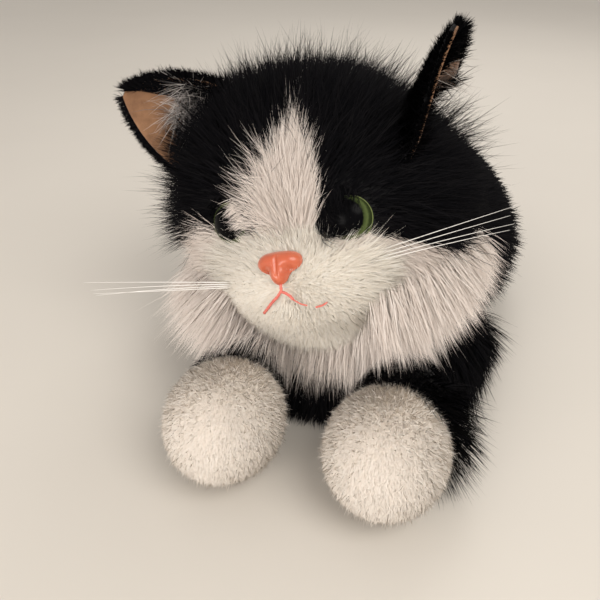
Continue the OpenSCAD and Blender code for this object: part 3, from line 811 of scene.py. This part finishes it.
def make_limbs():
    for side in ("left", "right"):
        for leg, paw_name, cover, radii, long in (
            ("foreleg", "forepaw", "foreleg_sleeve", (SHOULDER_R, FORE_END_R), (5, 9)),
            ("hind_leg", "hindpaw", "thigh_cover", (HIP_R, HIND_END_R), (8, 14)),
        ):
            body = f"{side}_{leg}"
            name = f"{side}_{cover.split('_')[0]}"
            paw = node_oval(f"{side}_{paw_name}_cover")
            limb = Limb(pivot_of(f"{body}_swing"), paw.middle, *radii)
            add_smooth(
                f"{name}_cloth", limb.shell(2.2), BLACK_CLOTH, body,
                [f"{side}_{cover}", f"{name}_stuffing"],
            )
            rng = seed(name)
            root, normal = limb.scatter(1.3, rng)
            clear = (paw.outside(root) > -2.5) & (CHEST.outside(root) > -2) & (TORSO.outside(root) > -6)
            clear &= (root[:, 2] > 1) & (HEAD.outside(root) > 5)
            root, normal = root[clear], normal[clear]
            comb = tangent(limb.along - (0, 0, 0.4), normal)
            outer = smooth(normal[:, 0], 0.1, 0.9) * (name == "left_foreleg")
            under_head = 0.25 + 0.75 * smooth(HEAD.outside(root), 16, 44)
            comb_pile(
                f"{name}_pile", body, BLACK_LONG, root, normal, comb,
                rng.uniform(*long, len(root)) * (1 + 1.8 * outer) * under_head, rng,
                width=0.55, lift=0.4 + 0.25 * outer, bend=0.2, sag=0.25, keep_out=[(HEAD, 3.0)],
            )


TAIL_R, TAIL_CURL, TAIL_ROOT, TAIL_SWEEP = 11, 40, 34, math.radians(90)


def tail_line(s):
    """Points of the tail's middle line and its direction at lengths s from the pivot."""
    pivot = pivot_of("tail_swing")
    bend = pivot + np.array([0, TAIL_ROOT, TAIL_R + 0.3 - pivot[2]])
    root_l = np.linalg.norm(bend - pivot)
    s = s[:, None]
    straight = pivot + (bend - pivot) * (s / root_l)
    a = np.clip((s - root_l) / TAIL_CURL, 0, TAIL_SWEEP)
    curl = bend + TAIL_CURL * np.concatenate([np.cos(a) - 1, np.sin(a), 0 * a], axis=1)
    beyond = np.maximum(s - root_l - TAIL_CURL * TAIL_SWEEP, 0)
    curl = curl - (1.0, 0, 0) * beyond
    heading = np.concatenate([-np.sin(a), np.cos(a), 0 * a], axis=1)
    heading = np.where(s < root_l, (bend - pivot) / root_l, heading)
    return np.where(s < root_l, straight, curl), unit(heading)


TAIL_LENGTH = TAIL_ROOT + TAIL_CURL * TAIL_SWEEP + 4


def tail_surface(s, angle, depth):
    middle, heading = tail_line(s)
    across = unit(np.cross(heading, [0, 0, 1.0]))
    over = np.cross(across, heading)
    out = spokes(angle, across, over)
    end = np.clip((TAIL_LENGTH + TAIL_R - s) / TAIL_R, 0, 1)
    radius = (TAIL_R - depth) * np.sqrt(np.maximum(1 - (1 - end) ** 2, 0.0001))
    return middle + out * radius[:, None], out, heading


def make_tail():
    around, steps = 40, 60
    s = np.linspace(0, TAIL_LENGTH + TAIL_R - 0.2, steps)
    angle = full_turn(around)
    points = tail_surface(np.repeat(s, around), np.tile(angle, steps), 1.0)[0]
    faces = ring_quads(steps, around, inward=True)
    faces.append(list(range(around))[::-1])
    faces.append([(steps - 1) * around + j for j in range(around)])
    shell = above_floor(points), faces
    tail_nodes = ["tail_cover", "tail_stuffing"]
    add_smooth("tail_cloth", shell, BLACK_CLOTH, "tail", tail_nodes)
    rng = seed("tail")
    count = int(2 * math.pi * TAIL_R * TAIL_LENGTH * 1.6)
    root, normal, heading = tail_surface(
        rng.random(count) * (TAIL_LENGTH + TAIL_R - 1), rng.random(count) * 2 * math.pi, 1.0
    )
    comb_pile(
        "tail_pile", "tail", BLACK_LONG, above_floor(root), normal, tangent(heading, normal),
        rng.uniform(9, 15, count), rng, width=0.55, lift=0.45, bend=0.2, sag=0.3,
    )


# --- ears ---

EAR_CUP, EAR_W, EAR_H = 34, 44, 44
ARCH_R = (EAR_H**2 + (EAR_W / 2) ** 2) / EAR_W
BACK_ROOT, FRONT_ROOT = 1.0, -1.4  # heights off the back sheet at which strands root


class Ear:
    """An ear's own axes: x along its root, z to its tip, and the lining on the -y side."""

    def __init__(self, side):
        self.foot = pivot_of(f"{side}_ear_bend")
        x = axis_of(f"{side}_ear_bend")
        mesh = frame["nodes"][f"{side}_ear_back"].data
        corners = np.array([v.co for v in mesh.vertices]) / MM - self.foot
        tip = corners[np.argmax(np.linalg.norm(corners - np.outer(corners @ x, x), axis=1))]
        z = unit(tip - x * (tip @ x))
        self.turn = np.stack([x, np.cross(z, x), z], axis=1)

    def half(self, z):
        return np.sqrt(np.maximum(ARCH_R**2 - z**2, 0)) - (ARCH_R - EAR_W / 2)

    def sheet(self, across, up, off):
        """Points across (-1 to 1) and up (0 to 1) the ear, some millimetres off its back, with directions."""
        z = up * (EAR_H - 1.5)
        x = across * self.half(z)
        a = np.arcsin(np.clip(x / EAR_CUP, -1, 1))
        out = np.stack([np.sin(a), np.cos(a), 0 * a], axis=1)
        local = np.stack([0 * a, 0 * a - EAR_CUP, z], axis=1) + out * (EAR_CUP + off)[:, None]
        return local @ self.turn.T + self.foot, out @ self.turn.T

    def shell(self, off_back, off_front, columns=28, rows=26):
        """A closed shell between two sheets."""
        u = np.linspace(-1, 1, columns)
        v = np.linspace(0, 1, rows)
        uu, vv = (g.ravel() for g in np.meshgrid(u, v))
        back = self.sheet(uu, vv, np.full(len(uu), off_back))[0]
        front = self.sheet(uu, vv, np.full(len(uu), off_front))[0]
        faces = []
        n = len(uu)
        for r in range(rows - 1):
            for c in range(columns - 1):
                a = r * columns + c
                faces.append((a, a + columns, a + columns + 1, a + 1))
                faces.append((n + a, n + a + 1, n + a + columns + 1, n + a + columns))
        rim = [r * columns for r in range(rows)]
        rim += [(rows - 1) * columns + c for c in range(1, columns)]
        rim += [r * columns + columns - 1 for r in range(rows - 2, -1, -1)]
        rim += list(range(columns - 2, 0, -1))
        for a, b in zip(rim, rim[1:] + rim[:1]):
            faces.append((b, a, n + a, n + b))
        return np.concatenate([back, front]), faces


def velour_material():
    """Short brown velour in uneven shades."""
    m = Nodes("ear_velour", Roughness=0.85, Sheen_Weight=0.25)
    m.mottle(90, (0.16, 0.075, 0.035), (0.33, 0.17, 0.085), detail=6.0, roughness=0.7)
    m.bump(m.noise(1500, 2.0), 0.35, 0.0004)
    return m.material


def ear_front_piles(ear, body, side):
    """A loose pale tuft at the ear's root, and black pile round the part of its lining that shows."""
    rng = seed(f"{body}_tuft")
    tip_way, side_way = ear.turn[:, 2], ear.turn[:, 0]
    count = 420 if side == "right" else 40
    across, up = rng.uniform(-0.1, 0.9, count), rng.uniform(0.2, 0.5, count)
    root, back = ear.sheet(across, up, np.full(count, FRONT_ROOT))
    comb = unit(tip_way * 0.5 - back * 0.7 + rng.normal(size=(count, 3)) * 0.4)
    comb_pile(
        f"{body}_tuft", body, GREY_TUFT, root, -back, comb, rng.uniform(9, 20, count), rng,
        width=0.26, lift=0.3, bend=0.4, sag=0.4, loose=0.35, clump=0.65, tuft=7,
    )
    count = 5200
    across, up = rng.uniform(-1, 1, count), rng.random(count)
    border = 0.45 if side == "right" else 1.1 - 1.5 * smooth(up, 0.35, 0.65)
    near_root = 0.12 + 0.22 * smooth(across, -0.4, 0.6) * (side == "right")
    pick = (across > border) | (up < near_root)
    across, up, near_root = across[pick], up[pick], near_root[pick]
    root, back = ear.sheet(across, up, np.full(len(up), FRONT_ROOT))
    comb = tangent(tip_way + side_way * across[:, None] * 0.4, -back)
    long = rng.uniform(3.5, 6.5, len(up)) + 8 * (up < near_root) * rng.random(len(up))
    comb_pile(
        f"{body}_front_pile", body, BLACK_SHORT, root, -back, comb, long, rng,
        width=0.42, lift=0.35, bend=0.2, sag=0.05, loose=0.22, clump=0.4, tuft=8,
    )


def make_ears():
    velour = velour_material()
    for side in ("left", "right"):
        ear, body = Ear(side), f"{side}_ear"
        tip_way, side_way = ear.turn[:, 2], ear.turn[:, 0]
        back, lining = ear.shell(1.4, 0.0), ear.shell(-0.1, -1.2)
        add_smooth(f"{body}_cloth", back, BLACK_CLOTH, body, [f"{body}_back"])
        add_smooth(f"{body}_velour", lining, velour, body, [f"{body}_lining"])
        rng = seed(body)
        count = 9000
        across, up = rng.uniform(-1, 1, count), 1 - np.sqrt(rng.uniform(0.02, 1, count)) * 0.98
        root, normal = ear.sheet(across, up, np.full(count, BACK_ROOT))
        comb = tangent(tip_way + side_way * across[:, None] * 0.6, normal)
        comb_pile(
            f"{body}_pile", body, BLACK_SHORT, root, normal, comb, rng.uniform(3.0, 5.5, count), rng,
            sag=0.0, lift=0.45, loose=0.2, clump=0.3, tuft=9,
        )
        ear_front_piles(ear, body, side)
        count = 2600
        edge, up = rng.choice([-1.0, 1.0], count), rng.random(count)
        root, normal = ear.sheet(edge * rng.uniform(0.93, 1.0, count), up, rng.uniform(-0.6, 1.2, count))
        comb = tangent(side_way * edge[:, None] * 0.9 + tip_way * (0.5 + up[:, None]), normal)
        comb_pile(
            f"{body}_rim_pile", body, BLACK_SHORT, root, normal, comb, rng.uniform(2.5, 4.5, count), rng,
            width=0.4, lift=0.12, bend=0.2, sag=0.0, loose=0.25, clump=0.3, tuft=7,
        )


# --- moulded face parts ---


def surface_frame(oval, x, z):
    """The point of the front of an oval at a place x, z, with axes across, up and out of the surface."""
    rx, ry, rz = oval.radii
    y = -ry * math.sqrt(1 - (x / rx) ** 2 - (z / rz) ** 2)
    n = unit(np.array([x / rx**2, y / ry**2, z / rz**2]))
    across = unit(np.array([1.0, 0, 0]) - n * n[0])
    axes = np.stack([across, np.cross(n, across), n], axis=1)
    return oval.out(np.array([[x, y, z]]))[0], oval.turn @ axes


def dome_grid(rings, around):
    """Shares of the radius and angles of a disc grid, and its faces, from the middle out."""
    share = np.linspace(0, 1, rings + 1)[1:]
    angle = full_turn(around)
    rr, aa = (g.ravel() for g in np.meshgrid(share, angle, indexing="ij"))
    faces = [(0, 1 + j, 1 + (j + 1) % around) for j in range(around)]
    faces += ring_quads(rings, around, first=1)
    return np.concatenate([[0], rr]), np.concatenate([[0], aa]), faces


NOSE_ROLL = math.radians(6)
NOSE_EDGE = 0.42


def nose_mass(x, u):
    """Three blended lumps: two wings above and a rounded drop below."""
    lumps = ((-5.6, 1.9, 4.2, 3.9), (5.6, 1.9, 4.2, 3.9), (0, 2.9, 4.2, 3.3), (0, -3.9, 3.7, 3.7))
    return sum(np.exp(-(((x - cx) / sx) ** 2) - ((u - cu) / su) ** 2) for cx, cu, sx, su in lumps)


def nose_material():
    m = Nodes("nose_plastic", Roughness=0.28, Coat_Weight=0.35, Coat_Roughness=0.15, Subsurface_Weight=0.1)
    m.shader.inputs["Subsurface Radius"].default_value = (0.003, 0.001, 0.0006)
    m.mottle(160, (0.53, 0.105, 0.045), (0.60, 0.14, 0.065))
    m.bump(m.noise(1200, 2.0), 0.06, 0.0002)
    return m.material


def make_nose():
    share, angle, faces = dome_grid(26, 96)
    low, high = np.zeros(len(angle)), np.full(len(angle), 14.0)
    for _ in range(30):
        outline = (low + high) / 2
        inside = nose_mass(outline * np.cos(angle), outline * np.sin(angle)) > NOSE_EDGE
        low, high = np.where(inside, outline, low), np.where(inside, high, outline)
    x, u = outline * share * np.cos(angle), outline * share * np.sin(angle)
    height = 4.6 * np.sqrt(np.maximum(1 - share**2.6, 0)) + 1.2 * np.minimum(nose_mass(x, u) - NOSE_EDGE, 1)
    groove = np.exp(-((x / 0.8) ** 2)) * smooth(4.5 - u, 0, 3) * smooth(u + 6.5, 0, 3)
    pits = sum(np.exp(-(((x - s * 4.9) / 1.5) ** 2) - ((u + 1.7) / 1.1) ** 2) for s in (-1, 1))
    height = height - 0.9 * groove - 2.4 * pits * smooth(1 - share, 0, 0.12)
    foot, axes = surface_frame(MUZZLE, 0, -MUZZLE_IN_HEAD[2])
    cos, sin = math.cos(NOSE_ROLL), math.sin(NOSE_ROLL)
    x, u = x * cos - u * sin - 1.0, x * sin + u * cos + 0.8
    points = np.stack([x, u, height - 1.0], axis=1) @ axes.T + foot
    add_smooth("nose_moulding", (points, faces), nose_material(), "head", ["nose"])


def eye_material(middle, inward):
    """A black pupil set a little inward on a green iris, by the distance from the pupil's middle."""
    side = "left" if inward < 0 else "right"
    m = Nodes(f"eye_glass_{side}", Roughness=0.2, Specular_IOR_Level=0.05)
    span = m.add("VectorMath", operation="DISTANCE")
    m.link(m.place(), span.inputs[0])
    span.inputs[1].default_value = tuple(middle * MM)
    grain = m.noise(900, 3.0)
    wobble = m.add("Math", operation="MULTIPLY_ADD")
    m.link(grain, wobble.inputs[0])
    wobble.inputs[1].default_value = 0.0012
    m.link(span.outputs["Value"], wobble.inputs[2])
    spread = m.add("Math", operation="MULTIPLY")
    m.link(wobble.outputs["Value"], spread.inputs[0])
    spread.inputs[1].default_value = 1 / IRIS_REACH
    m.colour(
        m.ramp(
            spread.outputs["Value"], (0.0, (0.0015, 0.0015, 0.002)), (0.72, (0.0015, 0.0015, 0.002)),
            (0.78, (0.045, 0.062, 0.020)), (0.90, (0.085, 0.115, 0.038)), (0.99, (0.03, 0.042, 0.014)),
        )
    )
    return m.material


EYE_R, EYE_TALL = 9, 6
IRIS_REACH = 0.011  # metres from the pupil's middle to the iris's outer edge


def make_eyes():
    for side, sign in (("left", 1), ("right", -1)):
        share, angle, faces = dome_grid(28, 72)
        a = share * math.pi / 2
        x, u, z = EYE_R * np.sin(a) * np.cos(angle), EYE_R * np.sin(a) * np.sin(angle), EYE_TALL * np.cos(a)
        foot, axes = surface_frame(HEAD, sign * EYE_X, EYE_Z)
        points = np.stack([x, u, z], axis=1) @ axes.T + foot
        pupil = foot + axes @ np.array([-sign * 2.3, 1.1, EYE_TALL])
        glass, dome = eye_material(pupil, -sign), [f"{side}_eye_dome"]
        add_smooth(f"{side}_eye_glass", (points, faces), glass, "head", dome)


def tube(points, radii, around=8):
    """A closed tube along points with a radius at each."""
    points = np.asarray(points, float)
    heading = unit(np.gradient(points, axis=0))
    across = unit(np.cross(heading, np.array([0.13, 0.2, 0.97])))
    over = np.cross(across, heading)
    angle = full_turn(around)
    verts = np.concatenate([p + r * spokes(angle, a, o) for p, a, o, r in zip(points, across, over, radii)])
    faces = ring_quads(len(points), around)
    faces.append(list(range(around)))
    faces.append([(len(points) - 1) * around + j for j in range(around)][::-1])
    return verts, faces


def joined(parts):
    """The points and faces of some shells as one."""
    verts, faces, base = [], [], 0
    for v, f in parts:
        verts.append(v)
        faces += [[i + base for i in face] for face in f]
        base += len(v)
    return np.concatenate(verts), faces


def on_muzzle(x, z, off):
    """Points some millimetres off the front of the muzzle, from places in the head's own axes."""
    rx, ry, rz = MUZZLE.radii
    zz = z - MUZZLE_IN_HEAD[2]
    y = -ry * np.sqrt(np.maximum(1 - (x / rx) ** 2 - (zz / rz) ** 2, 0))
    n = unit(np.stack([x / rx**2, y / ry**2, zz / rz**2], axis=1))
    return MUZZLE.out(np.stack([x, y, zz], axis=1) + n * off)


def thread_material():
    m = Nodes("coral_thread", Roughness=0.6).mottle(700, (0.62, 0.12, 0.10), (0.78, 0.22, 0.17))
    m.bump(m.noise(2500, 1.0), 0.4, 0.0003)
    return m.material


def make_mouth():
    """Satin-stitched mouth: a short drop, a long left stroke and a short right one, then a thin stray end."""
    strokes = (
        ([0, 0.2], [-5.0, -8.2], 0.62),
        ([0, -1.6, -4.4, -7.0, -9.4], [-7.6, -9.6, -12.0, -14.8, -17.4], 0.6),
        ([0, 1.8, 3.6, 4.8], [-7.6, -8.2, -9.3, -10.8], 0.6),
        ([4.8, 7.5, 10.0], [-10.8, -12.8, -13.8], 0.32),
        ([13.0, 15.5, 17.5], [-15.0, -14.8, -13.8], 0.38),
    )
    parts = []
    for xs, zs, r in strokes:
        t = np.linspace(0, 1, 4 * len(xs))
        x = np.interp(t, np.linspace(0, 1, len(xs)), xs)
        z = np.interp(t, np.linspace(0, 1, len(zs)), zs)
        twist = 1 + 0.18 * np.sin(np.arange(len(t)) * 2.4)
        parts.append(tube(on_muzzle(x, z, 0.15), r * twist))
    add_smooth("mouth_thread", joined(parts), thread_material(), "head", ["mouth_stitches"])


WHISKER_LENGTH, WHISKER_R = 65, 0.26


def make_whiskers():
    """Curved bristles from the sides of the muzzle, each side with its own height, slope, fan and sweep."""
    bristle = Nodes("whisker_filament", Roughness=0.3).mottle(300, (0.80, 0.78, 0.74), (0.92, 0.90, 0.87))
    for side, sign, height, slope, fan, back in (
        ("left", 1, 12, 14, 0.9, 0.1),
        ("right", -1, 5, 16, 1.5, -0.5),
    ):
        rng = seed(f"{side}_whiskers")
        parts = []
        for i in range(4):
            t = i - 1.5
            rise = math.radians(slope + fan * t)
            level = MUZZLE_IN_HEAD[2] + height + 0.7 * t
            root = on_muzzle(np.array([sign * 28.0]), np.array([level]), -1.5)[0]
            way = HEAD_TURN @ unit(np.array([sign * math.cos(rise), back, math.sin(rise)]))
            droop = HEAD_TURN @ np.array([0, 0, rng.uniform(-4, 1)])
            s = np.linspace(0, 1, 18)[:, None]
            line = root + way * (WHISKER_LENGTH * rng.uniform(0.9, 1.0)) * s + droop * s**2
            parts.append(tube(line, WHISKER_R * (1 - 0.8 * s[:, 0]), 6))
        add_smooth(
            f"{side}_whisker_bristles", joined(parts), bristle.material, "head",
            [f"whiskers_{side}"],
        )


def make_neck():
    low, high = (np.array(c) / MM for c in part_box("neck_cover"))
    ball = Oval((low + high) / 2, (high - low) / 2)
    neck_nodes = ["neck_cover", "neck_stuffing"]
    cloth_panel("neck_cloth", "neck", BLACK_BACKING, ball, all_faces, neck_nodes, depth=0.6)


def dress_hidden_nodes():
    """Node materials for the carried-over parts inside the cloth."""
    washer = Nodes("washer_plastic", Roughness=0.45).mottle(200, (0.72, 0.72, 0.70), (0.82, 0.82, 0.80))
    black = Nodes("eye_plastic", Roughness=0.2).mottle(300, (0.004, 0.004, 0.005), (0.010, 0.010, 0.012))
    green = Nodes("iris_plastic", Roughness=0.3).mottle(500, (0.09, 0.12, 0.03), (0.20, 0.25, 0.07))
    bag = cloth_material("bag_cloth", (0.55, 0.50, 0.42), (0.68, 0.63, 0.55), 500)
    pellets = Nodes("pellets", Roughness=0.5)
    pellets.mottle(420, (0.45, 0.43, 0.40), (0.70, 0.68, 0.64), low=0.4, high=0.6, detail=1.0)
    pellets.bump(pellets.noise(420, 1.0), 1.0, 0.002)
    thread = cloth_material("belly_thread", (0.004, 0.004, 0.005), (0.012, 0.011, 0.012), 1500)
    dressed = {
        washer.material: ["nose_washer", "left_eye_washer", "right_eye_washer"],
        black.material: ["left_eye_stem", "right_eye_stem"],
        green.material: ["left_eye_iris", "right_eye_iris"],
        bag: ["pellet_bag"],
        pellets.material: ["pellet_fill"],
        thread: ["belly_stitches"],
    }
    for material, nodes in dressed.items():
        for node in nodes:
            mesh = frame["nodes"][node].data
            mesh.materials.clear()
            mesh.materials.append(material)


def make_floor():
    m = Nodes("shelf", Roughness=0.55).mottle(3.0, (0.66, 0.62, 0.565), (0.69, 0.65, 0.595))
    size = 6.0
    mesh = bpy.data.meshes.new("floor")
    corners = [(x * size, y * size, 0) for x, y in ((-1, -1), (1, -1), (1, 1), (-1, 1))]
    mesh.from_pydata(corners, [], [(0, 1, 2, 3)])
    mesh.materials.append(m.material)
    floor = bpy.data.objects.new("floor", mesh)
    bpy.context.scene.collection.objects.link(floor)


make_camera()
make_light()
make_floor()
make_head_cloth()
make_body_cloth()
head_pile()
cheek_pile()
bib_pile()
blaze_pile()
blaze_wisps()
muzzle_pile()
torso_pile()
make_limbs()
make_tail()
make_neck()
make_ears()
make_nose()
make_eyes()
make_mouth()
make_brows()
make_whiskers()
dress_hidden_nodes()
for side in ("left", "right"):
    paw_pile(f"{side}_foreleg", f"{side}_forepaw_cover", 9.0, (0, -0.6, -0.5))
    paw_pile(f"{side}_hind_leg", f"{side}_hindpaw_cover", 6.0, (0, 0.6, -0.5))
